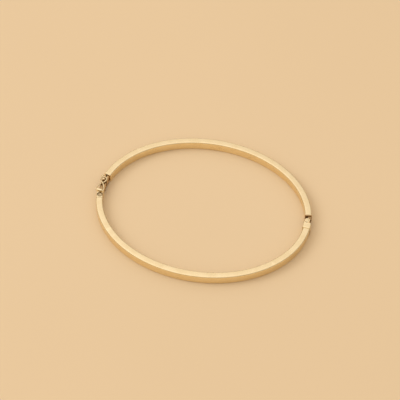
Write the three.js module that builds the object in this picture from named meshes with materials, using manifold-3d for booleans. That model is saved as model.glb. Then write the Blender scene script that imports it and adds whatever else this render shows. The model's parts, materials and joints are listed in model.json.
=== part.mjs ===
// Hinged bangle bracelet in polished gold: an oval of two hollow half tubes, a three-knuckle
// hinge at one end, and at the other a box clasp with a sprung tongue and a figure-eight
// safety catch. Millimetres, +Z up, lying flat with its underside on Z = 0.
import * as THREE from 'three';
import { mergeVertices } from 'three/addons/utils/BufferGeometryUtils.js';
import Module from 'manifold-3d';

const wasm = await Module();
wasm.setup();

// Oval of the tube's centreline: the hinge is at its +X end and the clasp at its -X end.
const OVAL_HALF_LENGTH = 31;
const OVAL_HALF_WIDTH = 24.67;
const HINGE_END = 1;
const CLASP_END = -1;

// Tube section.
const TUBE_THICK = 2.0;
const TUBE_HEIGHT = 2.94;
const TUBE_WALL = 0.3;
const EDGE_RADIUS = 0.28;
const TUBE_STEPS = 40;
const EDGE_SEGMENTS = 2;

// Gaps: between soldered pieces, and between pieces that turn in each other.
const SOLDER_GAP = 0.02;
const RUNNING_GAP = 0.05;
const CAP_THICK = 0.3;
const SPIGOT_LENGTH = 1.2;

// Hinge: pin axis, knuckles and the slanted end of the front block.
const PIN_X = 30.65;
const PIN_Y = 2.45;
const PIN_RADIUS = 0.3;
const PIN_HEAD_RADIUS = 0.42;
const PIN_HEAD_RISE = 0.14;
const KNUCKLE_RADIUS = 0.75;
const KNUCKLE_GAP = 0.05;
const UPPER_SEAM = 0.2;
const LOWER_KNUCKLE_BOTTOM = 0.05;
const CENTRE_KNUCKLE_BOTTOM = 0.92;
const CENTRE_KNUCKLE_TOP = 2.02;
const UPPER_KNUCKLE_TOP = 2.98;
const FRONT_TUBE_HINGE_Y = -0.45;
const FRONT_BLOCK_RISE = 0.09;
const FRONT_BLOCK_INSET = 0.28;
const FRONT_BLOCK_INNER_Y = 2.15;
const FRONT_BLOCK_OUTER_Y = 1.5;
const REAR_HINGE_CAP_Y = 4.16;
const ARM_START_Y = 2.95;
const ARM_INSET = 0.1;
const ARM_OUTSET = 0.76;
const ARM_BOTTOM = 0.15;
const ARM_TOP = 2.58;

// Clasp: the box stands on the front half, the tongue on the rear half.
const FRONT_TUBE_CLASP_Y = -4.75;
const REAR_CLASP_CAP_Y = 4.1;
const CLASP_BLOCK_END_Y = -1.55;
const PIVOT_SEAT_TOP = 2.5;
const PIVOT_SEAT_START_Y = -2.85;
const SCOOP_RADIUS = 0.84;
const SCOOP_X = -30.58;
const SCOOP_Y = -3.68;
const SCOOP_FLOOR = 2.2;
const BOX_OUTER_X = -31.6;
const BOX_INNER_X = -30.15;
const BOX_MOUTH_Y = 1.25;
const BOX_BOTTOM = 0.25;
const BOX_TOP = 2.45;
const BOX_WALL = 0.2;
const LIP_THICK = 0.18;
const SLOT_OUTER_X = -31.14;
const SLOT_INNER_X = -30.38;
const SLOT_BOTTOM = 0.62;
const SLOT_TOP = 2.12;

// Tongue: a fixed plate and a spring leaf folded back from its tip.
const TONGUE_BLOCK_Y = 1.6;
const TONGUE_BLOCK_BACK_Y = 3.96;
const TONGUE_BLOCK_OUTER_X = -30.7;
const TONGUE_BLOCK_INNER_X = -30.05;
const TONGUE_BLOCK_BOTTOM = 0.4;
const STUD_SHELF_OUTER_X = -31.75;
const STUD_SHELF_BACK_Y = 3.1;
const STUD_SHELF_THICK = 0.27;
const PLATE_OUTER_X = -30.66;
const PLATE_INNER_X = -30.46;
const TONGUE_BOTTOM = 0.8;
const TONGUE_TOP = 1.95;
const TONGUE_TIP_Y = -1.3;
const LEAF_THICK = 0.15;
const EAR_START_Y = 3.4;
const EAR_END_Y = 3.9;
const EAR_TOP = 2.62;
const BUTTON_RADIUS = 0.4;
const BUTTON_X = -31.98;
const BUTTON_Y = 3.65;
const BUTTON_Z = 2.38;
const BUTTON_POST_RADIUS = 0.17;

// Safety catch: wire figure eight turning in a cross tube, and the ball that it closes over.
const SAFETY_X = -31.15;
const PIVOT_Y = -2.15;
const PIVOT_Z = 3.0;
const PIVOT_TUBE_RADIUS = 0.47;
const PIVOT_TUBE_OUTER_X = -31.95;
const PIVOT_TUBE_INNER_X = -30.38;
const WIRE_RADIUS = 0.18;
const WIRE_ARC_SEGMENTS = 5;
const WIRE_STEPS = 72;
const RING_Y = 2.05;
const RING_RADIUS = 0.92;
const RING_OPENING = 40;
const CROSSING_Y = 0.72;
const CROSSING_RISE = 0.2;
const LOOP_HALF_WIDTH = 1.12;
const STUD_BALL_RADIUS = 0.45;
const STUD_BALL_Z = 3.12;
const STUD_NECK_RADIUS = 0.2;

const ROUND_SIDES = 20;
const BALL_RINGS = 8;
const MM_BEYOND = 1;

/** Closed geometry to a manifold solid. */
function toSolid(geometry) {
  const bare = geometry.clone();
  bare.deleteAttribute('normal');
  bare.deleteAttribute('uv');
  const merged = mergeVertices(bare);
  const mesh = new wasm.Mesh({
    numProp: 3,
    vertProperties: new Float32Array(merged.attributes.position.array),
    triVerts: new Uint32Array(merged.index.array),
  });
  return new wasm.Manifold(mesh);
}

/** Manifold solid back to a three.js geometry. */
function toGeometry(solid) {
  const mesh = solid.getMesh();
  const geometry = new THREE.BufferGeometry();
  geometry.setAttribute('position', new THREE.BufferAttribute(mesh.vertProperties, mesh.numProp));
  geometry.setIndex(new THREE.BufferAttribute(mesh.triVerts, 1));
  return geometry;
}

/** First geometry with every other one cut away from it. */
function cut(geometry, ...tools) {
  let solid = toSolid(geometry);
  for (const tool of tools) {
    solid = solid.subtract(toSolid(tool));
  }
  return toGeometry(solid);
}

/** All the geometries as one solid. */
function join(...pieces) {
  let solid = toSolid(pieces[0]);
  for (const piece of pieces.slice(1)) {
    solid = solid.add(toSolid(piece));
  }
  return toGeometry(solid);
}

/** Stretch of the oval between two angles, run anticlockwise as seen from above. */
class OvalArc extends THREE.Curve {
  constructor(startAngle, endAngle) {
    super();
    this.startAngle = startAngle;
    this.endAngle = endAngle;
  }

  getPoint(t, target = new THREE.Vector3()) {
    const angle = THREE.MathUtils.lerp(this.startAngle, this.endAngle, t);
    return target.set(OVAL_HALF_LENGTH * Math.cos(angle), OVAL_HALF_WIDTH * Math.sin(angle), 0);
  }
}

/** Angle on the oval of the centreline point with this Y, near the hinge end or the clasp end. */
function ovalAngle(end, y) {
  const angle = Math.asin(y / OVAL_HALF_WIDTH);
  return end === HINGE_END ? angle : Math.PI - angle;
}

/**
 * Rounded rectangle across the tube, as ExtrudeGeometry lays it along an OvalArc: its own x
 * points down and its own y points to the inside of the bangle.
 */
function crossSection(outward, inward, bottom, top, radius, ShapeClass = THREE.Shape) {
  const low = -top;
  const high = -bottom;
  const shape = new ShapeClass();
  shape.absarc(high - radius, inward - radius, radius, 0, Math.PI / 2, false);
  shape.absarc(low + radius, inward - radius, radius, Math.PI / 2, Math.PI, false);
  shape.absarc(low + radius, -outward + radius, radius, Math.PI, 1.5 * Math.PI, false);
  shape.absarc(high - radius, -outward + radius, radius, 1.5 * Math.PI, 2 * Math.PI, false);
  shape.closePath();
  return shape;
}

/** Section of the tube grown by a margin, standing on Z = 0 or just above it. */
function tubeSection(margin = 0, ShapeClass = THREE.Shape) {
  const half = TUBE_THICK / 2 + margin;
  const radius = Math.max(EDGE_RADIUS + margin, TUBE_WALL / 4);
  return crossSection(half, half, -Math.min(margin, 0), TUBE_HEIGHT + margin, radius, ShapeClass);
}

/** Bar of one section along the oval. */
function ovalBar(section, startAngle, endAngle, steps) {
  return new THREE.ExtrudeGeometry(section, {
    steps,
    curveSegments: EDGE_SEGMENTS,
    extrudePath: new OvalArc(startAngle, endAngle),
  });
}

/** Bar of one section along the oval, between two Y values near one end. */
function endBar(section, end, firstY, secondY, steps = 1) {
  const angles = [ovalAngle(end, firstY), ovalAngle(end, secondY)].sort((p, q) => p - q);
  return ovalBar(section, angles[0], angles[1], steps);
}

/** Straight block between two corners. */
function block(x0, x1, y0, y1, z0, z1) {
  const geometry = new THREE.BoxGeometry(x1 - x0, y1 - y0, z1 - z0);
  geometry.translate((x0 + x1) / 2, (y0 + y1) / 2, (z0 + z1) / 2);
  return geometry;
}

/** Upright round bar. */
function uprightBar(x, y, radius, bottom, top) {
  const geometry = new THREE.CylinderGeometry(radius, radius, top - bottom, ROUND_SIDES);
  geometry.rotateX(Math.PI / 2);
  geometry.translate(x, y, (bottom + top) / 2);
  return geometry;
}

/** Round bar lying across the tube, along X. */
function crossBar(x0, x1, y, z, radius) {
  const geometry = new THREE.CylinderGeometry(radius, radius, x1 - x0, ROUND_SIDES);
  geometry.rotateZ(Math.PI / 2);
  geometry.translate((x0 + x1) / 2, y, z);
  return geometry;
}

/** Ball with its poles up and down. */
function ball(x, y, z, radius) {
  const geometry = new THREE.SphereGeometry(radius, ROUND_SIDES, BALL_RINGS);
  geometry.rotateX(Math.PI / 2);
  geometry.translate(x, y, z);
  return geometry;
}

/** Outline in plan, stood upright between two heights. */
function uprightOutline(points, bottom, top) {
  const shape = new THREE.Shape(points.map(([x, y]) => new THREE.Vector2(x, y)));
  const geometry = new THREE.ExtrudeGeometry(shape, { depth: top - bottom, bevelEnabled: false });
  geometry.translate(0, 0, bottom);
  return geometry;
}

function halfTube(startAngle, endAngle) {
  const section = tubeSection();
  section.holes.push(tubeSection(-TUBE_WALL, THREE.Path));
  return ovalBar(section, startAngle, endAngle, TUBE_STEPS);
}

/** Plug that centres an end piece in the hollow of the tube. */
function spigot(end, faceY, towardY) {
  const section = tubeSection(-TUBE_WALL - SOLDER_GAP);
  return endBar(section, end, faceY, faceY + Math.sign(towardY - faceY) * SPIGOT_LENGTH);
}

function frontTube() {
  const start = ovalAngle(CLASP_END, FRONT_TUBE_CLASP_Y);
  return halfTube(start, ovalAngle(HINGE_END, FRONT_TUBE_HINGE_Y) + 2 * Math.PI);
}

function rearTube() {
  const start = ovalAngle(HINGE_END, REAR_HINGE_CAP_Y + CAP_THICK + SOLDER_GAP);
  return halfTube(start, ovalAngle(CLASP_END, REAR_CLASP_CAP_Y + CAP_THICK + SOLDER_GAP));
}

/** End plate of the rear tube, with its plug. */
function rearCap(end, faceY) {
  const plate = endBar(tubeSection(), end, faceY, faceY + CAP_THICK);
  return join(plate, spigot(end, faceY + CAP_THICK / 2, faceY + MM_BEYOND));
}

/** Solid end of the front half at the hinge, a little prouder than the tube. */
function frontHingeBlock() {
  const faceY = FRONT_TUBE_HINGE_Y + SOLDER_GAP;
  const half = TUBE_THICK / 2 + FRONT_BLOCK_RISE;
  const top = TUBE_HEIGHT + FRONT_BLOCK_RISE;
  const inward = TUBE_THICK / 2 + FRONT_BLOCK_INSET;
  const section = crossSection(half, inward, SOLDER_GAP, top, EDGE_RADIUS);
  const body = endBar(section, HINGE_END, faceY, FRONT_BLOCK_INNER_Y + FRONT_BLOCK_RISE, 2);
  const innerX = PIN_X - TUBE_THICK / 2;
  const outerX = PIN_X + TUBE_THICK / 2;
  const slope = (FRONT_BLOCK_OUTER_Y - FRONT_BLOCK_INNER_Y) / (outerX - innerX);
  const relief = uprightOutline(
    [
      [innerX - MM_BEYOND, FRONT_BLOCK_INNER_Y - slope * MM_BEYOND],
      [outerX + MM_BEYOND, FRONT_BLOCK_OUTER_Y + slope * MM_BEYOND],
      [outerX + MM_BEYOND, FRONT_BLOCK_INNER_Y + MM_BEYOND],
      [innerX - MM_BEYOND, FRONT_BLOCK_INNER_Y + MM_BEYOND],
    ],
    -MM_BEYOND,
    top + MM_BEYOND,
  );
  const seatRadius = KNUCKLE_RADIUS + KNUCKLE_GAP + SOLDER_GAP;
  const seat = uprightBar(PIN_X, PIN_Y, seatRadius, -MM_BEYOND, top + MM_BEYOND);
  const seamRadius = KNUCKLE_RADIUS + UPPER_SEAM;
  const seam = uprightBar(PIN_X, PIN_Y, seamRadius, CENTRE_KNUCKLE_TOP, top + MM_BEYOND);
  const plug = spigot(HINGE_END, faceY + SOLDER_GAP, faceY - MM_BEYOND);
  return join(cut(body, relief, seat, seam), plug);
}

/** Ring of the hinge barrel with a bore for the pin. */
function knuckle(radius, bore, bottom, top) {
  const hole = uprightBar(PIN_X, PIN_Y, bore, bottom - MM_BEYOND, top + MM_BEYOND);
  return cut(uprightBar(PIN_X, PIN_Y, radius, bottom, top), hole);
}

/** Leaf that carries the outer knuckles from the rear tube's end plate. */
function hingeArm() {
  const section = crossSection(ARM_OUTSET, ARM_INSET, ARM_BOTTOM, ARM_TOP, ARM_INSET);
  const bar = endBar(section, HINGE_END, ARM_START_Y, REAR_HINGE_CAP_Y - SOLDER_GAP, 2);
  const seat = uprightBar(
    PIN_X, PIN_Y, KNUCKLE_RADIUS + SOLDER_GAP, -MM_BEYOND, TUBE_HEIGHT + MM_BEYOND,
  );
  const sweep = uprightBar(
    PIN_X,
    PIN_Y,
    KNUCKLE_RADIUS + 2 * KNUCKLE_GAP,
    CENTRE_KNUCKLE_BOTTOM - KNUCKLE_GAP,
    CENTRE_KNUCKLE_TOP + KNUCKLE_GAP,
  );
  return cut(bar, seat, sweep);
}

/** Hinge pin with a domed head. */
function hingePin() {
  const headZ = UPPER_KNUCKLE_TOP + SOLDER_GAP;
  const profile = [
    new THREE.Vector2(0, 2 * LOWER_KNUCKLE_BOTTOM),
    new THREE.Vector2(PIN_RADIUS, 2 * LOWER_KNUCKLE_BOTTOM),
    new THREE.Vector2(PIN_RADIUS, headZ),
    new THREE.Vector2(PIN_HEAD_RADIUS, headZ),
  ];
  const domeSteps = 4;
  for (let step = 1; step <= domeSteps; step += 1) {
    const angle = (step / domeSteps) * (Math.PI / 2);
    const reach = step === domeSteps ? 0 : PIN_HEAD_RADIUS * Math.cos(angle);
    profile.push(new THREE.Vector2(reach, headZ + PIN_HEAD_RISE * Math.sin(angle)));
  }
  const geometry = new THREE.LatheGeometry(profile, ROUND_SIDES);
  geometry.rotateX(Math.PI / 2);
  geometry.translate(PIN_X, PIN_Y, 0);
  return geometry;
}

/** Solid end of the front half at the clasp: a seat for the cross tube and a finger scoop. */
function frontClaspBlock() {
  const faceY = FRONT_TUBE_CLASP_Y + SOLDER_GAP;
  const body = endBar(tubeSection(), CLASP_END, faceY, CLASP_BLOCK_END_Y, 2);
  const seat = block(
    -OVAL_HALF_LENGTH - TUBE_THICK,
    -OVAL_HALF_LENGTH + TUBE_THICK,
    PIVOT_SEAT_START_Y,
    CLASP_BLOCK_END_Y + MM_BEYOND,
    PIVOT_SEAT_TOP,
    TUBE_HEIGHT + MM_BEYOND,
  );
  const scoop = uprightBar(SCOOP_X, SCOOP_Y, SCOOP_RADIUS, SCOOP_FLOOR, TUBE_HEIGHT + MM_BEYOND);
  const plug = spigot(CLASP_END, faceY + SOLDER_GAP, faceY - MM_BEYOND);
  return join(cut(body, seat, scoop), plug);
}

/** Sleeve that takes the tongue. */
function claspBox() {
  const backY = CLASP_BLOCK_END_Y + 4 * SOLDER_GAP;
  const sleeve = block(BOX_OUTER_X, BOX_INNER_X, backY, BOX_MOUTH_Y, BOX_BOTTOM, BOX_TOP);
  const hollow = block(
    BOX_OUTER_X + BOX_WALL,
    BOX_INNER_X - BOX_WALL,
    backY - MM_BEYOND,
    BOX_MOUTH_Y + MM_BEYOND,
    BOX_BOTTOM + BOX_WALL,
    BOX_TOP - BOX_WALL,
  );
  return cut(sleeve, hollow);
}

/** Slotted plate that the tongue's shoulder catches behind. */
function boxLip() {
  const faceY = BOX_MOUTH_Y + SOLDER_GAP;
  const plate = block(BOX_OUTER_X, BOX_INNER_X, faceY, faceY + LIP_THICK, BOX_BOTTOM, BOX_TOP);
  const slot = block(
    SLOT_OUTER_X,
    SLOT_INNER_X,
    faceY - MM_BEYOND,
    faceY + MM_BEYOND,
    SLOT_BOTTOM,
    SLOT_TOP,
  );
  return cut(plate, slot);
}

/** Root of the tongue, with the shelf that the safety stud stands on. */
function tongueBlock() {
  const root = block(
    TONGUE_BLOCK_OUTER_X,
    TONGUE_BLOCK_INNER_X,
    TONGUE_BLOCK_Y,
    TONGUE_BLOCK_BACK_Y,
    TONGUE_BLOCK_BOTTOM,
    PIVOT_SEAT_TOP,
  );
  const shelf = block(
    STUD_SHELF_OUTER_X,
    TONGUE_BLOCK_INNER_X - TUBE_WALL,
    TONGUE_BLOCK_Y,
    STUD_SHELF_BACK_Y,
    PIVOT_SEAT_TOP - STUD_SHELF_THICK,
    PIVOT_SEAT_TOP,
  );
  return join(root, shelf);
}

function tonguePlate() {
  const rootY = TONGUE_BLOCK_Y - SOLDER_GAP;
  return block(PLATE_OUTER_X, PLATE_INNER_X, TONGUE_TIP_Y, rootY, TONGUE_BOTTOM, TONGUE_TOP);
}

/** Spring leaf: out from the fold to its shoulder, in through the slot, out to the button. */
function tongueSpring() {
  const outerFace = [
    [PLATE_OUTER_X - LEAF_THICK - RUNNING_GAP, TONGUE_TIP_Y],
    [SLOT_OUTER_X - LEAF_THICK, BOX_MOUTH_Y - 3 * LEAF_THICK],
    [SLOT_OUTER_X - LEAF_THICK, BOX_MOUTH_Y - LEAF_THICK],
    [SLOT_OUTER_X + RUNNING_GAP, BOX_MOUTH_Y - LEAF_THICK / 2],
    [SLOT_OUTER_X + RUNNING_GAP, TONGUE_BLOCK_Y],
    [BOX_OUTER_X, TONGUE_BLOCK_Y + 2 * LEAF_THICK],
    [BOX_OUTER_X, EAR_END_Y],
  ];
  const innerFace = outerFace.map(([x, y]) => [x + LEAF_THICK, y]).reverse();
  const strip = uprightOutline([...innerFace, ...outerFace], TONGUE_BOTTOM, TONGUE_TOP);
  const ear = block(
    BOX_OUTER_X,
    BOX_OUTER_X + LEAF_THICK,
    EAR_START_Y,
    EAR_END_Y,
    TONGUE_BOTTOM,
    EAR_TOP,
  );
  return join(strip, ear);
}

function thumbButton() {
  const post = crossBar(
    BUTTON_X, BOX_OUTER_X - SOLDER_GAP, BUTTON_Y, BUTTON_Z, BUTTON_POST_RADIUS,
  );
  return join(ball(BUTTON_X, BUTTON_Y, BUTTON_Z, BUTTON_RADIUS), post);
}

function safetyPivotTube() {
  const outer = crossBar(
    PIVOT_TUBE_OUTER_X, PIVOT_TUBE_INNER_X, PIVOT_Y, PIVOT_Z, PIVOT_TUBE_RADIUS,
  );
  const bore = crossBar(
    PIVOT_TUBE_OUTER_X - MM_BEYOND,
    PIVOT_TUBE_INNER_X + MM_BEYOND,
    PIVOT_Y,
    PIVOT_Z,
    WIRE_RADIUS + RUNNING_GAP,
  );
  return cut(outer, bore);
}

/** Half of the figure eight's route, on the side given, from the cross tube to the ring's top. */
function safetyHalfRoute(side) {
  const point = (reach, y, rise) => new THREE.Vector3(SAFETY_X + side * reach, y, PIVOT_Z + rise);
  const rise = side * CROSSING_RISE;
  const route = [
    point(WIRE_RADIUS / 4, PIVOT_Y, 0),
    point(LOOP_HALF_WIDTH * 0.4, PIVOT_Y, 0),
    point(LOOP_HALF_WIDTH - 0.27, PIVOT_Y, 0),
    point(LOOP_HALF_WIDTH - 0.06, PIVOT_Y + 0.08, 0),
    point(LOOP_HALF_WIDTH, PIVOT_Y + 0.3, 0),
    point(LOOP_HALF_WIDTH * 0.98, PIVOT_Y + 0.85, 0),
    point(LOOP_HALF_WIDTH * 0.7, PIVOT_Y + 1.65, rise * 0.35),
    point(LOOP_HALF_WIDTH * 0.28, CROSSING_Y - 0.38, rise * 0.9),
    point(-LOOP_HALF_WIDTH * 0.02, CROSSING_Y, rise),
  ];
  const ringSteps = 6;
  for (let step = 0; step <= ringSteps; step += 1) {
    const turn = THREE.MathUtils.lerp(RING_OPENING, 180, step / ringSteps);
    const angle = THREE.MathUtils.degToRad(turn);
    const reach = -RING_RADIUS * Math.sin(angle);
    const lift = step === 0 ? rise * 0.6 : 0;
    route.push(point(reach, RING_Y - RING_RADIUS * Math.cos(angle), lift));
  }
  return route;
}

/** Figure-eight wire: both ends turn in the cross tube, and its far ring closes over the ball. */
function safetyWire() {
  const leftHalf = safetyHalfRoute(-1);
  const rightHalf = safetyHalfRoute(1).reverse().slice(1);
  const route = new THREE.CatmullRomCurve3([...leftHalf, ...rightHalf], false, 'centripetal');
  const section = new THREE.Shape();
  section.absarc(0, 0, WIRE_RADIUS, 0, 2 * Math.PI, false);
  return new THREE.ExtrudeGeometry(section, {
    steps: WIRE_STEPS,
    curveSegments: WIRE_ARC_SEGMENTS,
    extrudePath: route,
  });
}

/** Ball-headed stud on the tongue's shelf. */
function safetyStud() {
  const bottom = PIVOT_SEAT_TOP + SOLDER_GAP;
  const neck = uprightBar(SAFETY_X, RING_Y, STUD_NECK_RADIUS, bottom, STUD_BALL_Z);
  return join(ball(SAFETY_X, RING_Y, STUD_BALL_Z, STUD_BALL_RADIUS), neck);
}

function polishedGold() {
  return new THREE.MeshStandardMaterial({ color: 0xdfbd80, roughness: 0.22, metalness: 1 });
}

function satinGold() {
  return new THREE.MeshStandardMaterial({ color: 0xcfa868, roughness: 0.38, metalness: 1 });
}

function springGold() {
  return new THREE.MeshStandardMaterial({ color: 0xd4b27a, roughness: 0.3, metalness: 1 });
}

const PIECES = {
  front_tube: [frontTube(), polishedGold()],
  front_hinge_block: [frontHingeBlock(), polishedGold()],
  centre_hinge_knuckle: [
    knuckle(
      KNUCKLE_RADIUS + KNUCKLE_GAP,
      PIN_RADIUS + RUNNING_GAP,
      CENTRE_KNUCKLE_BOTTOM,
      CENTRE_KNUCKLE_TOP,
    ),
    satinGold(),
  ],
  front_clasp_block: [frontClaspBlock(), polishedGold()],
  clasp_box: [claspBox(), satinGold()],
  box_lip: [boxLip(), satinGold()],
  safety_pivot_tube: [safetyPivotTube(), polishedGold()],
  rear_tube: [rearTube(), polishedGold()],
  rear_hinge_cap: [rearCap(HINGE_END, REAR_HINGE_CAP_Y), satinGold()],
  hinge_arm: [hingeArm(), satinGold()],
  lower_hinge_knuckle: [
    knuckle(
      KNUCKLE_RADIUS,
      PIN_RADIUS + SOLDER_GAP,
      LOWER_KNUCKLE_BOTTOM,
      CENTRE_KNUCKLE_BOTTOM - KNUCKLE_GAP,
    ),
    satinGold(),
  ],
  upper_hinge_knuckle: [
    knuckle(
      KNUCKLE_RADIUS,
      PIN_RADIUS + SOLDER_GAP,
      CENTRE_KNUCKLE_TOP + KNUCKLE_GAP,
      UPPER_KNUCKLE_TOP,
    ),
    polishedGold(),
  ],
  hinge_pin: [hingePin(), polishedGold()],
  rear_clasp_cap: [rearCap(CLASP_END, REAR_CLASP_CAP_Y), polishedGold()],
  tongue_block: [tongueBlock(), satinGold()],
  tongue_plate: [tonguePlate(), springGold()],
  tongue_spring: [tongueSpring(), springGold()],
  thumb_button: [thumbButton(), polishedGold()],
  safety_wire: [safetyWire(), polishedGold()],
  safety_stud: [safetyStud(), polishedGold()],
};

/** The whole bangle, moved so that the middle of its underside is the origin. */
function bangle() {
  const group = new THREE.Group();
  for (const [name, [geometry, material]] of Object.entries(PIECES)) {
    const mesh = new THREE.Mesh(geometry, material);
    mesh.name = name;
    group.add(mesh);
  }
  const bounds = new THREE.Box3().setFromObject(group);
  const middle = bounds.getCenter(new THREE.Vector3());
  group.position.set(-middle.x, -middle.y, -bounds.min.z);
  return group;
}

export default bangle();
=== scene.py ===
"""Looks of the hinged bangle bracelet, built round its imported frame.

Every piece is built here in millimetres, about the middle of the bangle's oval, and publish()
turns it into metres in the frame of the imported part, where it stands for its CAD node.
"""

import json
import math

import bmesh
import bpy
from mathutils import Matrix, Vector


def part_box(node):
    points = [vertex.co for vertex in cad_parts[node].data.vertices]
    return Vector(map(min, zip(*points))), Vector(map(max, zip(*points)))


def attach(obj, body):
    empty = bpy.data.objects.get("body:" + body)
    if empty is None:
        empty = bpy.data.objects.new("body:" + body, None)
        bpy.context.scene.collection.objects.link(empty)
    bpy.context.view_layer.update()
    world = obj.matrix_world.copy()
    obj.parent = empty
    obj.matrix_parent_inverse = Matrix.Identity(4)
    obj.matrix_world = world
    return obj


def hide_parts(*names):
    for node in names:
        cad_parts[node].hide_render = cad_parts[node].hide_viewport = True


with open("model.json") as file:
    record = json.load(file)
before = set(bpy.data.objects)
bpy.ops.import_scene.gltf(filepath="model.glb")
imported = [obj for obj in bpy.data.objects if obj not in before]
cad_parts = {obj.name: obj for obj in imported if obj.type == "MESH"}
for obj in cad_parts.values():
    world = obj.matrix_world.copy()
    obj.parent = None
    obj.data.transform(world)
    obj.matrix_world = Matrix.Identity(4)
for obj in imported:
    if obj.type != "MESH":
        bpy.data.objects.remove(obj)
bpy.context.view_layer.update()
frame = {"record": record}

MM = 0.001

# Oval of the tube's centreline, and the tube's section.
OVAL_HALF_LENGTH = 31.0
OVAL_HALF_WIDTH = 24.67
TUBE_THICK = 2.0
TUBE_HEIGHT = 2.94
TUBE_WALL = 0.3
EDGE_RADIUS = 0.28
CROWN = 0.02
SOLDER_GAP = 0.02
HINGE_END = 1
CLASP_END = -1
UV_NAME = "along"

# How far a cutting shape reaches past what it cuts.
MM_BEYOND = 1

# The hinge pin's place, measured from the oval's middle. It gives the middle's place in the frame.
PIN_X = 30.65
PIN_Y = 2.45
pin_low, pin_high = (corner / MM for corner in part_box("hinge_pin"))
OVAL_MIDDLE = Vector(((pin_low.x + pin_high.x) / 2 - PIN_X, 0.0, 0.0))


def box_mm(node):
    """Lowest and highest corner of a CAD node, in millimetres about the oval's middle."""
    low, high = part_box(node)
    return low / MM - OVAL_MIDDLE, high / MM - OVAL_MIDDLE


NODE_BODY = {
    node: body
    for body, nodes in frame["record"]["behaviour"]["bodies"].items()
    for node in nodes
}
NODE_SLOT = {part["node"]: part["material_slot"] for part in frame["record"]["subparts"]}


# ---------------------------------------------------------------- mesh helpers


def oval_point(angle):
    return Vector((OVAL_HALF_LENGTH * math.cos(angle), OVAL_HALF_WIDTH * math.sin(angle), 0.0))


def oval_outward(angle):
    """Unit normal of the oval, pointing out of the bangle."""
    normal = Vector((OVAL_HALF_WIDTH * math.cos(angle), OVAL_HALF_LENGTH * math.sin(angle), 0.0))
    return normal.normalized()


def oval_angle(end, y):
    """Angle of the oval's point with this Y, near the hinge end or the clasp end."""
    angle = math.asin(y / OVAL_HALF_WIDTH)
    return angle if end == HINGE_END else math.pi - angle


def rounded_section(outward, inward, bottom, top, radius, crown=0.0):
    """Closed outline across the tube as (outward offset, height) points, with crowned flats."""
    corner_steps, flat_steps = 7, 7
    middle_x, half_x = (outward - inward) / 2, (outward + inward) / 2
    middle_z, half_z = (top + bottom) / 2, (top - bottom) / 2
    points = []
    for quarter in range(4):
        sign_x = 1 if quarter in (0, 3) else -1
        sign_z = 1 if quarter in (0, 1) else -1
        centre_x = sign_x * (half_x - radius)
        centre_z = sign_z * (half_z - radius)
        for step in range(corner_steps + 1):
            turn = (quarter + step / corner_steps) * math.pi / 2
            points.append((centre_x + radius * math.cos(turn), centre_z + radius * math.sin(turn)))
        end_x, end_z = points[-1]
        turn = (quarter + 1) * math.pi / 2
        next_x = -end_x if quarter in (0, 2) else end_x
        next_z = -end_z if quarter in (1, 3) else end_z
        for step in range(1, flat_steps):
            share = step / flat_steps
            points.append((end_x + (next_x - end_x) * share, end_z + (next_z - end_z) * share))
    outline = []
    for x, z in points:
        pull_x = 1 - crown / half_x * (z / half_z) ** 2
        pull_z = 1 - crown / half_z * (x / half_x) ** 2
        outline.append((middle_x + x * pull_x, middle_z + z * pull_z))
    return outline


def tube_section(margin=0.0, crown=CROWN):
    half = TUBE_THICK / 2 + margin
    bottom = -min(margin, 0.0)
    radius = max(EDGE_RADIUS + margin, TUBE_WALL / 4)
    return rounded_section(half, half, bottom, TUBE_HEIGHT + margin, radius, crown)


def new_object(name, mesh):
    obj = bpy.data.objects.new(name, mesh)
    bpy.context.scene.collection.objects.link(obj)
    return obj


def mesh_object(name, bm):
    bmesh.ops.recalc_face_normals(bm, faces=bm.faces)
    mesh = bpy.data.meshes.new(name)
    bm.to_mesh(mesh)
    bm.free()
    for polygon in mesh.polygons:
        polygon.use_smooth = True
    return new_object(name, mesh)


def swept_wall(bm, outline, angles, uv_layer):
    """Wall of a section carried along the oval. Returns its first and last ring of vertices."""
    rings = []
    lengths = [0.0]
    for number, angle in enumerate(angles):
        point, outward = oval_point(angle), oval_outward(angle)
        if number:
            lengths.append(lengths[-1] + (point - oval_point(angles[number - 1])).length)
        ring = [bm.verts.new(point + outward * x + Vector((0, 0, z))) for x, z in outline]
        rings.append(ring)
    around = [0.0]
    for first, second in zip(outline, outline[1:] + outline[:1]):
        around.append(around[-1] + math.dist(first, second))
    count = len(outline)
    for number in range(len(rings) - 1):
        for side in range(count):
            after = (side + 1) % count
            corners = (
                (rings[number][side], lengths[number], around[side]),
                (rings[number + 1][side], lengths[number + 1], around[side]),
                (rings[number + 1][after], lengths[number + 1], around[side + 1]),
                (rings[number][after], lengths[number], around[side + 1]),
            )
            face = bm.faces.new([corner[0] for corner in corners])
            for loop, (_, along, across) in zip(face.loops, corners):
                loop[uv_layer].uv = (along, across)
    return rings[0], rings[-1]


def oval_bar(name, outline, first_angle, last_angle, steps, hollow=None):
    """Bar along the oval; hollow is the outline of its bore, if it has one."""
    bm = bmesh.new()
    uv_layer = bm.loops.layers.uv.new(UV_NAME)
    angles = [first_angle + (last_angle - first_angle) * n / steps for n in range(steps + 1)]
    ends = swept_wall(bm, outline, angles, uv_layer)
    if hollow is None:
        for ring in ends:
            bm.faces.new(ring)
    else:
        inner_ends = swept_wall(bm, hollow, angles, uv_layer)
        count = len(outline)
        for ring, inner in zip(ends, inner_ends):
            for side in range(count):
                after = (side + 1) % count
                bm.faces.new((ring[side], ring[after], inner[after], inner[side]))
    return mesh_object(name, bm)


def end_bar(name, outline, end, first_y, second_y, steps=12):
    angles = sorted((oval_angle(end, first_y), oval_angle(end, second_y)))
    return oval_bar(name, outline, angles[0], angles[1], steps)


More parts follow.
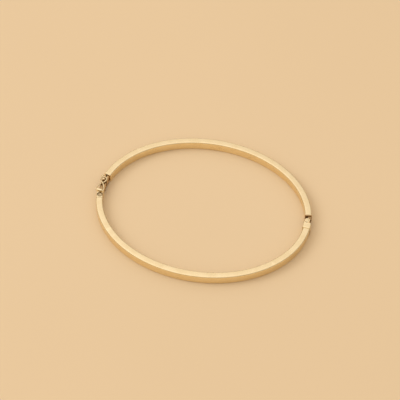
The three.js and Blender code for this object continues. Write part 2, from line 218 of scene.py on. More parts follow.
def turned(name, profile, centre, axis="Z", sides=48, closed=False):
    """Solid of revolution. The profile is (radius, height) points; closed profiles are rings."""
    bm = bmesh.new()
    uv_layer = bm.loops.layers.uv.new(UV_NAME)
    turn = Matrix.Identity(3) if axis == "Z" else Matrix.Rotation(math.pi / 2, 3, "Y")
    columns = []
    for radius, height in profile:
        if radius < 1e-9:
            columns.append([bm.verts.new(turn @ Vector((0, 0, height)) + centre)] * sides)
            continue
        column = []
        for side in range(sides):
            angle = 2 * math.pi * side / sides
            spot = Vector((radius * math.cos(angle), radius * math.sin(angle), height))
            column.append(bm.verts.new(turn @ spot + centre))
        columns.append(column)
    pairs = list(zip(columns, columns[1:]))
    if closed:
        pairs.append((columns[-1], columns[0]))
    for row, (low, high) in enumerate(pairs):
        for side in range(sides):
            after = (side + 1) % sides
            corners = [low[side], low[after], high[after], high[side]]
            unique = list(dict.fromkeys(corners))
            if len(unique) < 3:
                continue
            face = bm.faces.new(unique)
            for loop in face.loops:
                around = 0.0 if loop.vert in (low[side], high[side]) else 1.0
                up = 0.0 if loop.vert in (low[side], low[after]) else 1.0
                loop[uv_layer].uv = (0.1 * (side + around), 0.1 * (row + up))
    return mesh_object(name, bm)


def soft_ring(radius, bore, bottom, top, edge, steps=4):
    """Closed profile of a ring with rounded rims, outside and at the bore."""
    corners = (
        (radius - edge, bottom + edge, -0.5),
        (radius - edge, top - edge, 0.0),
        (bore + edge, top - edge, 0.5),
        (bore + edge, bottom + edge, 1.0),
    )
    profile = []
    for centre_r, centre_h, start in corners:
        for step in range(steps + 1):
            turn = (start + step / steps * 0.5) * math.pi
            profile.append((centre_r + edge * math.cos(turn), centre_h + edge * math.sin(turn)))
    return profile


def ball_profile(radius, neck, neck_end, steps=18):
    """Ball about height 0 with a round neck down to neck_end."""
    start = -math.sqrt(radius**2 - neck**2)
    first = math.asin(start / radius)
    profile = [(0.0, neck_end), (neck, neck_end), (neck, start)]
    for step in range(1, steps):
        turn = first + (math.pi / 2 - first) * step / steps
        profile.append((radius * math.cos(turn), radius * math.sin(turn)))
    profile.append((0.0, radius))
    return profile


def block(name, low, high):
    """Straight block between two corners, with square edges."""
    bm = bmesh.new()
    uv_layer = bm.loops.layers.uv.new(UV_NAME)
    bmesh.ops.create_cube(bm, size=1.0)
    low, high = Vector(low), Vector(high)
    for vertex in bm.verts:
        share = vertex.co + Vector((0.5, 0.5, 0.5))
        vertex.co = Vector(low[i] + (high[i] - low[i]) * share[i] for i in range(3))
    for face in bm.faces:
        for loop in face.loops:
            loop[uv_layer].uv = (loop.vert.co.y, loop.vert.co.x + loop.vert.co.z)
    return mesh_object(name, bm)


def prism(name, points, bottom, top):
    """Upright prism over an outline in plan."""
    bm = bmesh.new()
    uv_layer = bm.loops.layers.uv.new(UV_NAME)
    low = [bm.verts.new((x, y, bottom)) for x, y in points]
    high = [bm.verts.new((x, y, top)) for x, y in points]
    bm.faces.new(low)
    bm.faces.new(high)
    for side in range(len(points)):
        after = (side + 1) % len(points)
        bm.faces.new((low[side], low[after], high[after], high[side]))
    for face in bm.faces:
        for loop in face.loops:
            loop[uv_layer].uv = (loop.vert.co.y, loop.vert.co.x + loop.vert.co.z)
    return mesh_object(name, bm)


def applied(obj):
    """The object with its modifiers made part of its mesh."""
    depsgraph = bpy.context.evaluated_depsgraph_get()
    depsgraph.update()
    mesh = bpy.data.meshes.new_from_object(
        obj.evaluated_get(depsgraph), preserve_all_data_layers=True, depsgraph=depsgraph
    )
    obj.modifiers.clear()
    obj.data = mesh
    return obj


def combine(obj, other, operation):
    modifier = obj.modifiers.new("shape", "BOOLEAN")
    modifier.operation = operation
    modifier.object = other
    modifier.solver = "EXACT"
    applied(obj)
    bpy.data.objects.remove(other)
    return obj


def soften(obj, width, segments=3, angle=35):
    """Rounds the sharp edges and keeps the flats flat."""
    bevel = obj.modifiers.new("edges", "BEVEL")
    bevel.width = width
    bevel.segments = segments
    bevel.limit_method = "ANGLE"
    bevel.angle_limit = math.radians(angle)
    bevel.use_clamp_overlap = True
    bevel.miter_outer = "MITER_ARC"
    applied(obj)
    for polygon in obj.data.polygons:
        polygon.use_smooth = True
    weighted = obj.modifiers.new("flats", "WEIGHTED_NORMAL")
    weighted.keep_sharp = True
    weighted.weight = 80
    return applied(obj)


def publish(obj, node):
    """Puts a finished piece in the frame, in place of its CAD node."""
    obj.name = node + "_finished"
    obj.data.transform(Matrix.Translation(OVAL_MIDDLE))
    obj.data.transform(Matrix.Scale(MM, 4))
    obj.data.materials.clear()
    obj.data.materials.append(MATERIALS[NODE_SLOT[node]])
    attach(obj, NODE_BODY[node])
    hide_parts(node)
    return obj


# ---------------------------------------------------------------- materials


class Tree:
    """Small helper to wire a material's node tree."""

    def __init__(self, name):
        self.material = bpy.data.materials.new(name)
        self.material.use_nodes = True
        self.tree = self.material.node_tree
        self.shader = self.tree.nodes["Principled BSDF"]

    def node(self, kind, **settings):
        made = self.tree.nodes.new(kind)
        for key, value in settings.items():
            setattr(made, key, value)
        return made

    def link(self, source, target):
        self.tree.links.new(source, target)

    def noise(self, vector, scale, detail, roughness=0.5):
        made = self.node("ShaderNodeTexNoise")
        made.inputs["Scale"].default_value = scale
        made.inputs["Detail"].default_value = detail
        made.inputs["Roughness"].default_value = roughness
        self.link(vector, made.inputs["Vector"])
        return made.outputs["Fac"]

    def span(self, value, low_in, high_in, low_out, high_out):
        made = self.node("ShaderNodeMapRange")
        for socket, number in zip(made.inputs[1:5], (low_in, high_in, low_out, high_out)):
            socket.default_value = number
        self.link(value, made.inputs["Value"])
        return made.outputs["Result"]

    def math(self, operation, first, second):
        made = self.node("ShaderNodeMath", operation=operation)
        self.link(first, made.inputs[0])
        if isinstance(second, float):
            made.inputs[1].default_value = second
        else:
            self.link(second, made.inputs[1])
        return made.outputs[0]

    def mix(self, factor, first, second):
        made = self.node("ShaderNodeMix", data_type="RGBA")
        self.link(factor, made.inputs["Factor"])
        for number, colour in ((6, first), (7, second)):
            if isinstance(colour, tuple):
                made.inputs[number].default_value = (*colour, 1.0)
            else:
                self.link(colour, made.inputs[number])
        return made.outputs[2]

    def bump(self, height, distance, below=None):
        made = self.node("ShaderNodeBump")
        made.inputs["Strength"].default_value = 1.0
        made.inputs["Distance"].default_value = distance
        self.link(height, made.inputs["Height"])
        if below is not None:
            self.link(below, made.inputs["Normal"])
        return made.outputs["Normal"]


# Reach and colour of the painted shade in recesses, between parts and under parts close above, and how
# sharp an edge has to be to look rubbed.
RECESS_REACH = 0.0013
PAINTED_SHADE_TONE = (0.16, 0.085, 0.03)
RUBBED_FROM = 0.5
RUBBED_FULL = 0.56
RUBBED_GAIN = 1.06

# Noise scales, in features per metre, and the stretch of the polishing lines along the tube.
CLOUD_SCALE = 420.0
GRAIN_SCALE = 5200.0
DENT_SCALE = 900.0
LINE_STRETCH = (0.35, 22.0, 1.0)
LEAST_ROUGHNESS = 0.08

FINISHES = {
    "polished_gold": {
        "tone": (0.93, 0.79, 0.52),
        "deep_tone": (0.90, 0.75, 0.47),
        "smooth": 0.18,
        "rough": 0.28,
        "line_depth": 0.000002,
        "dent_depth": 0.000005,
        "painted_shade_strength": 1.0,
        "alone": True,
    },
    # satin_gold's tone and deep_tone are far darker than the polished gold's: painted shade on the
    # mechanism parts that sit in shadow. Its higher roughness is the real satin finish.
    "satin_gold": {
        "tone": (0.66, 0.46, 0.24),
        "deep_tone": (0.52, 0.35, 0.17),
        "smooth": 0.34,
        "rough": 0.46,
        "line_depth": 0.000003,
        "dent_depth": 0.000005,
        "painted_shade_strength": 1.0,
        "alone": False,
    },
    "spring_gold": {
        "tone": (0.84, 0.64, 0.38),
        "deep_tone": (0.76, 0.56, 0.31),
        "smooth": 0.24,
        "rough": 0.34,
        "line_depth": 0.000003,
        "dent_depth": 0.000003,
        "painted_shade_strength": 0.9,
        "alone": False,
    },
}

FLOOR_TONE = (0.845, 0.66, 0.425)
FLOOR_DEEP = (0.83, 0.648, 0.416)
FLOOR_CLOUD_SCALE = 9.0
FIBRE_SCALE = 2600.0
FIBRE_DEPTH = 0.00001


def gold(name, tone, deep_tone, smooth, rough, line_depth, dent_depth, painted_shade_strength, alone):
    """Gold with drawn-out polishing lines, faint dents, rubbed edges, and painted shade that browns it
    where other surfaces are close.
    """
    t = Tree(name)
    where = t.node("ShaderNodeTexCoord").outputs["Object"]
    along = t.node("ShaderNodeUVMap", uv_map=UV_NAME).outputs["UV"]
    stretch = t.node("ShaderNodeMapping")
    stretch.inputs["Scale"].default_value = LINE_STRETCH
    t.link(along, stretch.inputs["Vector"])
    lines = t.noise(stretch.outputs["Vector"], 1.0, 4.0, 0.6)
    clouds = t.noise(where, CLOUD_SCALE, 3.0)
    grain = t.noise(where, GRAIN_SCALE, 4.0, 0.6)
    dents = t.noise(where, DENT_SCALE, 2.0)
    geometry = t.node("ShaderNodeNewGeometry")
    rubbed = t.span(geometry.outputs["Pointiness"], RUBBED_FROM, RUBBED_FULL, 0.0, 1.0)
    colour = t.mix(t.span(clouds, 0.35, 0.65, 0.0, 1.0), tone, deep_tone)
    bright = tuple(min(1.0, channel * RUBBED_GAIN) for channel in tone)
    colour = t.mix(rubbed, colour, bright)
    # Painted shade: the colour is mixed toward a dark brown where the AO node finds surfaces close by,
    # so recesses, gaps between parts and the top under the safety wire come out dark. The same mask
    # also makes it a little rougher.
    openness = t.node("ShaderNodeAmbientOcclusion", samples=8, only_local=alone)
    openness.inputs["Distance"].default_value = RECESS_REACH
    uneven = t.math("ADD", openness.outputs["AO"], t.span(clouds, 0.3, 0.7, -0.08, 0.08))
    painted_shade_mask = t.span(uneven, 0.3, 0.92, painted_shade_strength, 0.0)
    t.link(t.mix(painted_shade_mask, colour, PAINTED_SHADE_TONE), t.shader.inputs["Base Color"])
    cloudy = t.span(clouds, 0.3, 0.7, smooth, rough)
    lined = t.math("ADD", cloudy, t.span(lines, 0.3, 0.7, -0.03, 0.03))
    grained = t.math("ADD", lined, t.span(grain, 0.35, 0.65, -0.015, 0.02))
    polished = t.math("SUBTRACT", grained, t.math("MULTIPLY", rubbed, 0.05))
    dulled = t.math("ADD", polished, t.math("MULTIPLY", painted_shade_mask, 0.15))
    t.link(t.math("MAXIMUM", dulled, LEAST_ROUGHNESS), t.shader.inputs["Roughness"])
    relief = t.bump(lines, line_depth)
    relief = t.bump(dents, dent_depth, relief)
    t.link(t.bump(grain, line_depth * 0.5, relief), t.shader.inputs["Normal"])
    t.shader.inputs["Metallic"].default_value = 1.0
    return t.material


MATERIALS = {name: gold(name, **finish) for name, finish in FINISHES.items()}


def floor_material():
    """Matte peach paper: faint fibres and clouds."""
    t = Tree("peach_paper")
    where = t.node("ShaderNodeTexCoord").outputs["Object"]
    clouds = t.noise(where, FLOOR_CLOUD_SCALE, 3.0)
    fibres = t.noise(where, FIBRE_SCALE, 5.0, 0.65)
    t.link(
        t.mix(t.span(clouds, 0.3, 0.7, 0.0, 1.0), FLOOR_TONE, FLOOR_DEEP),
        t.shader.inputs["Base Color"],
    )
    t.link(t.bump(fibres, FIBRE_DEPTH), t.shader.inputs["Normal"])
    t.shader.inputs["Roughness"].default_value = 0.85
    t.shader.inputs["Specular IOR Level"].default_value = 0.25
    return t.material


# ---------------------------------------------------------------- the tube's halves and ends

FRONT_TUBE_HINGE_Y = -0.45
FRONT_TUBE_CLASP_Y = -4.75
REAR_HINGE_CAP_Y = 4.16
REAR_CLASP_CAP_Y = 4.1
CAP_THICK = 0.3
END_EDGE = 0.05
SPIGOT_LENGTH = 1.2
TUBE_RINGS = 420


def half_tube(node, first_angle, last_angle):
    bore = tube_section(-TUBE_WALL, 0.0)
    tube = oval_bar(node, tube_section(), first_angle, last_angle, TUBE_RINGS, bore)
    return publish(tube, node)


def spigot(end, face_y, toward):
    """Plug that centres an end piece in the hollow of the tube."""
    section = tube_section(-TUBE_WALL - SOLDER_GAP, 0.0)
    return end_bar("spigot", section, end, face_y, face_y + toward * SPIGOT_LENGTH, 4)


def make_tubes():
    half_tube(
        "front_tube",
        oval_angle(CLASP_END, FRONT_TUBE_CLASP_Y),
        oval_angle(HINGE_END, FRONT_TUBE_HINGE_Y) + 2 * math.pi,
    )
    half_tube(
        "rear_tube",
        oval_angle(HINGE_END, REAR_HINGE_CAP_Y + CAP_THICK + SOLDER_GAP),
        oval_angle(CLASP_END, REAR_CLASP_CAP_Y + CAP_THICK + SOLDER_GAP),
    )


def make_rear_cap(node, end, face_y):
    plate = end_bar(node, tube_section(0.0, 0.0), end, face_y, face_y + CAP_THICK, 2)
    soften(plate, END_EDGE)
    combine(plate, spigot(end, face_y + CAP_THICK / 2, 1), "UNION")
    publish(plate, node)


# ---------------------------------------------------------------- the hinge

PIN_RADIUS = 0.3
KNUCKLE_RADIUS = 0.75
KNUCKLE_GAP = 0.05
UPPER_SEAM = 0.2
RUNNING_GAP = 0.05
FRONT_BLOCK_RISE = 0.09
FRONT_BLOCK_INSET = 0.28
FRONT_BLOCK_INNER_Y = 2.15
FRONT_BLOCK_OUTER_Y = 1.5
ARM_START_Y = 2.95
ARM_INSET = 0.1
ARM_OUTSET = 0.76
RIM = 0.06
ARM_EDGE = 0.03


def upright(name, profile, closed=False):
    return turned(name, profile, Vector((PIN_X, PIN_Y, 0.0)), closed=closed)


def pin_bar(name, radius, bottom, top):
    """Plain upright bar about the hinge pin, to cut with."""
    return upright(name, [(0, bottom), (radius, bottom), (radius, top), (0, top)])


def make_front_hinge_block():
    face_y = FRONT_TUBE_HINGE_Y + SOLDER_GAP
    half = TUBE_THICK / 2 + FRONT_BLOCK_RISE
    top = TUBE_HEIGHT + FRONT_BLOCK_RISE
    inward = TUBE_THICK / 2 + FRONT_BLOCK_INSET
    section = rounded_section(half, inward, SOLDER_GAP, top, EDGE_RADIUS, CROWN)
    body = end_bar(
        "hinge_block", section, HINGE_END, face_y, FRONT_BLOCK_INNER_Y + FRONT_BLOCK_RISE, 10
    )
    inner_x, outer_x = PIN_X - TUBE_THICK / 2, PIN_X + TUBE_THICK / 2
    slope = (FRONT_BLOCK_OUTER_Y - FRONT_BLOCK_INNER_Y) / (outer_x - inner_x)
    relief = [
        (inner_x - MM_BEYOND, FRONT_BLOCK_INNER_Y - slope * MM_BEYOND),
        (outer_x + MM_BEYOND, FRONT_BLOCK_OUTER_Y + slope * MM_BEYOND),
        (outer_x + MM_BEYOND, FRONT_BLOCK_INNER_Y + MM_BEYOND),
        (inner_x - MM_BEYOND, FRONT_BLOCK_INNER_Y + MM_BEYOND),
    ]
    combine(body, prism("relief", relief, -MM_BEYOND, top + MM_BEYOND), "DIFFERENCE")
    seat_radius = KNUCKLE_RADIUS + KNUCKLE_GAP + SOLDER_GAP
    combine(body, pin_bar("seat", seat_radius, -MM_BEYOND, top + MM_BEYOND), "DIFFERENCE")
    seam_bottom = box_mm("centre_hinge_knuckle")[1].z
    seam = pin_bar("seam", KNUCKLE_RADIUS + UPPER_SEAM, seam_bottom, top + MM_BEYOND)
    combine(body, seam, "DIFFERENCE")
    soften(body, RIM)
    combine(body, spigot(HINGE_END, face_y + SOLDER_GAP, -1), "UNION")
    publish(body, "front_hinge_block")


def make_knuckle(node, radius, bore):
    low, high = box_mm(node)
    ring = upright(node, soft_ring(radius, bore, low.z, high.z, RIM), closed=True)
    publish(ring, node)


def make_hinge_pin():
    low, high = box_mm("hinge_pin")
    head_radius = (high.x - low.x) / 2
    head_z = box_mm("upper_hinge_knuckle")[1].z + SOLDER_GAP
    profile = [(0.0, low.z), (PIN_RADIUS, low.z), (PIN_RADIUS, head_z), (head_radius, head_z)]
    for step in range(1, 9):
        turn = step / 8 * math.pi / 2
        reach = 0.0 if step == 8 else head_radius * math.cos(turn)
        profile.append((reach, head_z + (high.z - head_z) * math.sin(turn)))
    publish(upright("pin", profile), "hinge_pin")


def make_hinge_arm():
    low, high = box_mm("hinge_arm")
    section = rounded_section(ARM_OUTSET, ARM_INSET, low.z, high.z, ARM_INSET)
    arm = end_bar("arm", section, HINGE_END, ARM_START_Y, REAR_HINGE_CAP_Y - SOLDER_GAP, 6)
    radius = KNUCKLE_RADIUS + 2 * KNUCKLE_GAP
    sweep = pin_bar("sweep", radius, -MM_BEYOND, high.z + MM_BEYOND)
    combine(arm, sweep, "DIFFERENCE")
    soften(arm, ARM_EDGE)
    publish(arm, "hinge_arm")


def make_hinge():
    make_front_hinge_block()
    make_knuckle("centre_hinge_knuckle", KNUCKLE_RADIUS + KNUCKLE_GAP, PIN_RADIUS + RUNNING_GAP)
    make_knuckle("lower_hinge_knuckle", KNUCKLE_RADIUS, PIN_RADIUS + SOLDER_GAP)
    make_knuckle("upper_hinge_knuckle", KNUCKLE_RADIUS, PIN_RADIUS + SOLDER_GAP)
    make_hinge_pin()
    make_hinge_arm()
    make_rear_cap("rear_hinge_cap", HINGE_END, REAR_HINGE_CAP_Y)


# ---------------------------------------------------------------- the clasp

CLASP_BLOCK_END_Y = -1.55
PIVOT_SEAT_TOP = 2.5
PIVOT_SEAT_START_Y = -2.85
SCOOP_RADIUS = 0.84
SCOOP_X = -30.58
SCOOP_Y = -3.68
SCOOP_FLOOR = 2.2
SCOOP_HOLLOW = 0.4
BOX_WALL = 0.2
SLOT_OUTER_X = -31.14
SLOT_INNER_X = -30.38
SLOT_BOTTOM = 0.62
SLOT_TOP = 2.12
STUD_SHELF_OUTER_X = -31.75
STUD_SHELF_BACK_Y = 3.1
STUD_SHELF_THICK = 0.27
TONGUE_BLOCK_OUTER_X = -30.7
LEAF_THICK = 0.15
LEAF_EDGE = 0.03
TONGUE_EDGE = 0.04
BOX_EDGE = 0.12
EAR_LENGTH = 0.5
BUTTON_NECK = 0.17
STUD_NECK = 0.2
SEAT_REACH = 3


def make_front_clasp_block():
    face_y = FRONT_TUBE_CLASP_Y + SOLDER_GAP
    body = end_bar("clasp_block", tube_section(), CLASP_END, face_y, CLASP_BLOCK_END_Y, 10)
    seat = block(
        "seat",
        (-OVAL_HALF_LENGTH - SEAT_REACH, PIVOT_SEAT_START_Y, PIVOT_SEAT_TOP),
        (-OVAL_HALF_LENGTH + SEAT_REACH, 0, TUBE_HEIGHT + MM_BEYOND),
    )
    combine(body, seat, "DIFFERENCE")
    dish = [(0.0, SCOOP_FLOOR)]
    for step in range(1, 7):
        turn = step / 6 * math.pi / 2
        dish.append((
            SCOOP_RADIUS * math.sin(turn),
            SCOOP_FLOOR + SCOOP_HOLLOW * (1 - math.cos(turn)),
        ))
    above = TUBE_HEIGHT + MM_BEYOND
    dish += [(SCOOP_RADIUS, above), (0.0, above)]
    combine(body, turned("scoop", dish, Vector((SCOOP_X, SCOOP_Y, 0))), "DIFFERENCE")
    soften(body, END_EDGE)
    combine(body, spigot(CLASP_END, face_y + SOLDER_GAP, -1), "UNION")
    publish(body, "front_clasp_block")


def make_clasp_box():
    low, high = box_mm("clasp_box")
    sleeve = block("sleeve", low, high)
    soften(sleeve, BOX_EDGE, 4)
    inset = Vector((BOX_WALL, -MM_BEYOND, BOX_WALL))
    combine(sleeve, block("hollow", low + inset, high - inset), "DIFFERENCE")
    publish(sleeve, "clasp_box")


def make_box_lip():
    low, high = box_mm("box_lip")
    plate = block("plate", low, high)
    slot = block(
        "slot",
        (SLOT_OUTER_X, low.y - MM_BEYOND, SLOT_BOTTOM),
        (SLOT_INNER_X, high.y + MM_BEYOND, SLOT_TOP),
    )
    combine(plate, slot, "DIFFERENCE")
    soften(plate, LEAF_EDGE)
    publish(plate, "box_lip")


def make_tongue_block():
    low, high = box_mm("tongue_block")
    root = block("root", (TONGUE_BLOCK_OUTER_X, low.y, low.z), high)
    shelf = block(
        "shelf",
        (STUD_SHELF_OUTER_X, low.y, high.z - STUD_SHELF_THICK),
        (high.x - TUBE_WALL, STUD_SHELF_BACK_Y, high.z),
    )
    combine(root, shelf, "UNION")
    soften(root, END_EDGE)
    publish(root, "tongue_block")


def make_tongue_plate():
    low, high = box_mm("tongue_plate")
    plate = block("plate", low, high)
    soften(plate, TONGUE_EDGE)
    publish(plate, "tongue_plate")


def make_tongue_spring():
    """Spring leaf: out from the fold to its shoulder, in through the slot, out to the button."""
    low, high = box_mm("tongue_spring")
    plate_low, plate_high = box_mm("tongue_plate")
    mouth_y = box_mm("clasp_box")[1].y
    root_y = box_mm("tongue_block")[0].y
    outer = [
        (plate_low.x - LEAF_THICK - RUNNING_GAP, low.y),
        (SLOT_OUTER_X - LEAF_THICK, mouth_y - 3 * LEAF_THICK),
        (SLOT_OUTER_X - LEAF_THICK, mouth_y - LEAF_THICK),
        (SLOT_OUTER_X + RUNNING_GAP, mouth_y - LEAF_THICK / 2),
        (SLOT_OUTER_X + RUNNING_GAP, root_y),
        (low.x, root_y + 2 * LEAF_THICK),
        (low.x, high.y),
    ]
    inner = [(x + LEAF_THICK, y) for x, y in reversed(outer)]
    strip = prism("strip", outer + inner, plate_low.z, plate_high.z)
    ear = block("ear", (low.x, high.y - EAR_LENGTH, plate_low.z), (low.x + LEAF_THICK, high.y, high.z))
    combine(strip, ear, "UNION")
    soften(strip, LEAF_EDGE, 2)
    publish(strip, "tongue_spring")


def make_thumb_button():
    low, high = box_mm("thumb_button")
    radius = (high.z - low.z) / 2
    centre = Vector((low.x + radius, (low.y + high.y) / 2, (low.z + high.z) / 2))
    reach = high.x - centre.x
    profile = [(r, -h) for r, h in ball_profile(radius, BUTTON_NECK, -max(reach, radius + 0.01))]
    button = turned("button", profile, centre, axis="X")
    publish(button, "thumb_button")


def make_safety_stud():
    low, high = box_mm("safety_stud")
    radius = (high.x - low.x) / 2
    centre = Vector(((low.x + high.x) / 2, (low.y + high.y) / 2, high.z - radius))
    profile = ball_profile(radius, STUD_NECK, low.z - centre.z)
    publish(turned("stud", profile, centre), "safety_stud")


def make_safety_pivot_tube():
    low, high = box_mm("safety_pivot_tube")
    radius = (high.z - low.z) / 2
    half = (high.x - low.x) / 2
    profile = soft_ring(radius, WIRE_RADIUS + RUNNING_GAP, -half, half, RIM)
    tube = turned("pivot_tube", profile, (low + high) / 2, axis="X", closed=True)
    publish(tube, "safety_pivot_tube")


# Route of the figure-eight wire.
SAFETY_X = -31.15
PIVOT_Y = -2.15
PIVOT_Z = 3.0
WIRE_RADIUS = 0.18
RING_Y = 2.05
RING_RADIUS = 0.92
RING_OPENING = 40
CROSSING_Y = 0.72
CROSSING_RISE = 0.2
LOOP_HALF_WIDTH = 1.12


def safety_half_route(side):
    """Half of the figure eight, from the cross tube to the ring's far end."""

    def point(reach, y, lift):
        return Vector((SAFETY_X + side * reach, y, PIVOT_Z + lift))

    lift = side * CROSSING_RISE
    route = [
        point(WIRE_RADIUS / 4, PIVOT_Y, 0),
        point(LOOP_HALF_WIDTH * 0.4, PIVOT_Y, 0),
        point(LOOP_HALF_WIDTH - 0.27, PIVOT_Y, 0),
        point(LOOP_HALF_WIDTH - 0.06, PIVOT_Y + 0.08, 0),
        point(LOOP_HALF_WIDTH, PIVOT_Y + 0.3, 0),
        point(LOOP_HALF_WIDTH * 0.98, PIVOT_Y + 0.85, 0),
        point(LOOP_HALF_WIDTH * 0.7, PIVOT_Y + 1.65, lift * 0.35),
        point(LOOP_HALF_WIDTH * 0.28, CROSSING_Y - 0.38, lift * 0.9),
        point(-LOOP_HALF_WIDTH * 0.02, CROSSING_Y, lift),
    ]
    for step in range(7):
        turn = math.radians(RING_OPENING + (180 - RING_OPENING) * step / 6)
        reach = -RING_RADIUS * math.sin(turn)
        rise = lift * 0.6 if step == 0 else 0
        route.append(point(reach, RING_Y - RING_RADIUS * math.cos(turn), rise))
    return route


def smooth_route(points, steps):
    """Centripetal Catmull-Rom curve through the points."""
    before = points[0] * 2 - points[1]
    after = points[-1] * 2 - points[-2]
    chain = [before, *points, after]
    route = []
    for number in range(1, len(chain) - 2):
        p0, p1, p2, p3 = chain[number - 1 : number + 3]
        t1 = math.sqrt((p1 - p0).length)
        t2 = t1 + math.sqrt((p2 - p1).length)
        t3 = t2 + math.sqrt((p3 - p2).length)
        for step in range(steps):
            t = t1 + (t2 - t1) * step / steps
            a1 = p0.lerp(p1, t / t1)
            a2 = p1.lerp(p2, (t - t1) / (t2 - t1))
            a3 = p2.lerp(p3, (t - t2) / (t3 - t2))
            b1 = a1.lerp(a2, t / t2)
            b2 = a2.lerp(a3, (t - t1) / (t3 - t1))
            route.append(b1.lerp(b2, (t - t1) / (t2 - t1)))
    route.append(points[-1])
    return route


def wire_mesh(name, route, radius, sides=20):
    """Round wire along a route, with slightly rounded ends."""
    bm = bmesh.new()
    uv_layer = bm.loops.layers.uv.new(UV_NAME)
    rings = []
    across = Vector((0, 0, 1))
    last = len(route) - 1
    for number, point in enumerate(route):
        tangent = (route[min(number + 1, last)] - route[max(number - 1, 0)]).normalized()
        across = (across - tangent * across.dot(tangent)).normalized()
        beside = tangent.cross(across)
        size = radius * (0.9 if number in (0, last) else 1.0)
        ring = []
        for side in range(sides):
            angle = 2 * math.pi * side / sides
            offset = across * math.cos(angle) + beside * math.sin(angle)
            ring.append(bm.verts.new(point + offset * size))
        rings.append(ring)
    for number in range(last):
        for side in range(sides):
            following = (side + 1) % sides
            face = bm.faces.new((
                rings[number][side],
                rings[number + 1][side],
                rings[number + 1][following],
                rings[number][following],
            ))
            for loop in face.loops:
                far = loop.vert in rings[number + 1]
                up = loop.vert in (rings[number][following], rings[number + 1][following])
                loop[uv_layer].uv = (0.05 * (number + far), 0.06 * (side + up))
    bm.faces.new(rings[0])
    bm.faces.new(rings[-1])
    return mesh_object(name, bm)


def make_safety_wire():
    points = safety_half_route(-1) + safety_half_route(1)[::-1][1:]
    wire = wire_mesh("figure_eight", smooth_route(points, 9), WIRE_RADIUS)
    publish(wire, "safety_wire")


def make_clasp():
    make_front_clasp_block()
    make_clasp_box()
    make_box_lip()
    make_rear_cap("rear_clasp_cap", CLASP_END, REAR_CLASP_CAP_Y)
    make_tongue_block()
    make_tongue_plate()
    make_tongue_spring()
    make_thumb_button()
    make_safety_stud()
    make_safety_pivot_tube()
    make_safety_wire()


# ---------------------------------------------------------------- floor, light and camera

FLOOR_RADIUS = 6.0
FLOOR_DROP = 0.00001
ROOM_LOW = 0.03
ROOM_HIGH = 0.55
ROOM_WALLS = (0.2, 0.135, 0.085)
ROOM_CEILING = (1.0, 0.89, 0.775)
ROOM_BRIGHT_SIDE = 75
ROOM_SIDES = (-0.4, 0.4, 0.82, 1.14)
ROOM_HEIGHTS = (0.7, 0.86, 0.82, 1.08)
WINDOW_PLACE = (82, 44, 1.1)
WINDOW_SIZE = 0.6
WINDOW_POWER = 2.6
WINDOW_TONE = (0.98, 1.0, 1.04)
CAMERA_DISTANCE = 496.7
CAMERA_ELEVATION = 51.49
CAMERA_TURN = 14.76
CAMERA_AIM = (-1.0, 4.37)
CAMERA_LENS = 151.0
CAMERA_SENSOR = 36.0


def make_floor():
    bm = bmesh.new()
    bmesh.ops.create_circle(bm, cap_ends=True, segments=96, radius=FLOOR_RADIUS)
    floor = mesh_object("floor", bm)
    floor.location.z = -FLOOR_DROP
    floor.data.materials.append(floor_material())


def light_direction(azimuth, elevation):
    """Unit vector; azimuth 0 is straight behind the bangle in the photograph, 90 is its left."""
    around = math.radians(azimuth + CAMERA_TURN)
    up = math.radians(elevation)
    return Vector((
        -math.sin(around) * math.cos(up), math.cos(around) * math.cos(up), math.sin(up)
    ))


def area_light(name, azimuth, elevation, distance, size, power, colour):
    """Square soft light aimed at the bangle."""
    data = bpy.data.lights.new(name, "AREA")
    data.shape = "SQUARE"
    data.size = size
    data.energy = power
    data.color = colour
    light = new_object(name, data)
    toward = light_direction(azimuth, elevation)
    light.location = toward * distance
    light.visible_glossy = False
    light.rotation_mode = "QUATERNION"
    light.rotation_quaternion = toward.to_track_quat("Z", "Y")


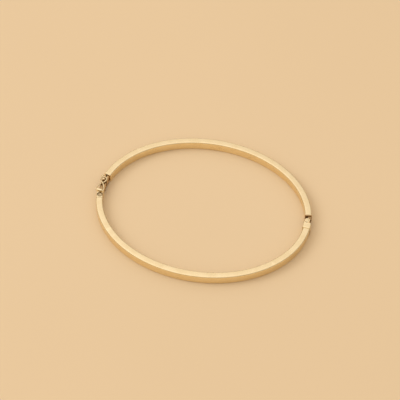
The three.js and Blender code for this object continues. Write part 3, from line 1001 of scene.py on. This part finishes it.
def make_light():
    """A warm room, dim near the floor and brighter overhead and to the left, and a window."""
    world = bpy.data.worlds.new("room")
    bpy.context.scene.world = world
    world.use_nodes = True
    tree = world.node_tree
    background = tree.nodes["Background"]
    where = tree.nodes.new("ShaderNodeTexCoord").outputs["Generated"]
    split = tree.nodes.new("ShaderNodeSeparateXYZ")
    tree.links.new(where, split.inputs["Vector"])

    def span(value, numbers):
        made = tree.nodes.new("ShaderNodeMapRange")
        made.interpolation_type = "SMOOTHSTEP"
        for socket, number in zip(made.inputs[1:5], numbers):
            socket.default_value = number
        tree.links.new(value, made.inputs["Value"])
        return made.outputs["Result"]

    height = span(split.outputs["Z"], (ROOM_LOW, ROOM_HIGH, 0.0, 1.0))
    tint = tree.nodes.new("ShaderNodeMix")
    tint.data_type = "RGBA"
    tint.inputs[6].default_value = (*ROOM_WALLS, 1.0)
    tint.inputs[7].default_value = (*ROOM_CEILING, 1.0)
    tree.links.new(height, tint.inputs["Factor"])
    tree.links.new(tint.outputs[2], background.inputs["Color"])
    facing = tree.nodes.new("ShaderNodeVectorMath")
    facing.operation = "DOT_PRODUCT"
    facing.inputs[1].default_value = light_direction(ROOM_BRIGHT_SIDE, 0)
    tree.links.new(where, facing.inputs[0])
    side = span(facing.outputs["Value"], ROOM_SIDES)
    lift = span(split.outputs["Z"], ROOM_HEIGHTS)
    strength = tree.nodes.new("ShaderNodeMath")
    strength.operation = "MULTIPLY"
    tree.links.new(side, strength.inputs[0])
    tree.links.new(lift, strength.inputs[1])
    tree.links.new(strength.outputs[0], background.inputs["Strength"])
    area_light("window", *WINDOW_PLACE, WINDOW_SIZE, WINDOW_POWER, WINDOW_TONE)


def make_camera():
    data = bpy.data.cameras.new("camera")
    data.lens = CAMERA_LENS
    data.sensor_width = CAMERA_SENSOR
    data.clip_start = 0.01
    data.clip_end = 20.0
    camera = new_object("camera", data)
    turn = Matrix.Rotation(math.radians(CAMERA_TURN), 3, "Z")
    up = math.radians(CAMERA_ELEVATION)
    aim = Vector((CAMERA_AIM[0], CAMERA_AIM[1], 0.0))
    back = Vector((0.0, -math.cos(up), math.sin(up)))
    target = (turn @ aim + OVAL_MIDDLE) * MM
    away = turn @ back
    camera.location = target + away * CAMERA_DISTANCE * MM
    camera.rotation_mode = "QUATERNION"
    camera.rotation_quaternion = (-away).to_track_quat("-Z", "Y")
    bpy.context.scene.camera = camera
    bpy.context.scene.view_settings.view_transform = "Standard"


make_camera()
make_tubes()
make_hinge()
make_clasp()
make_floor()
make_light()
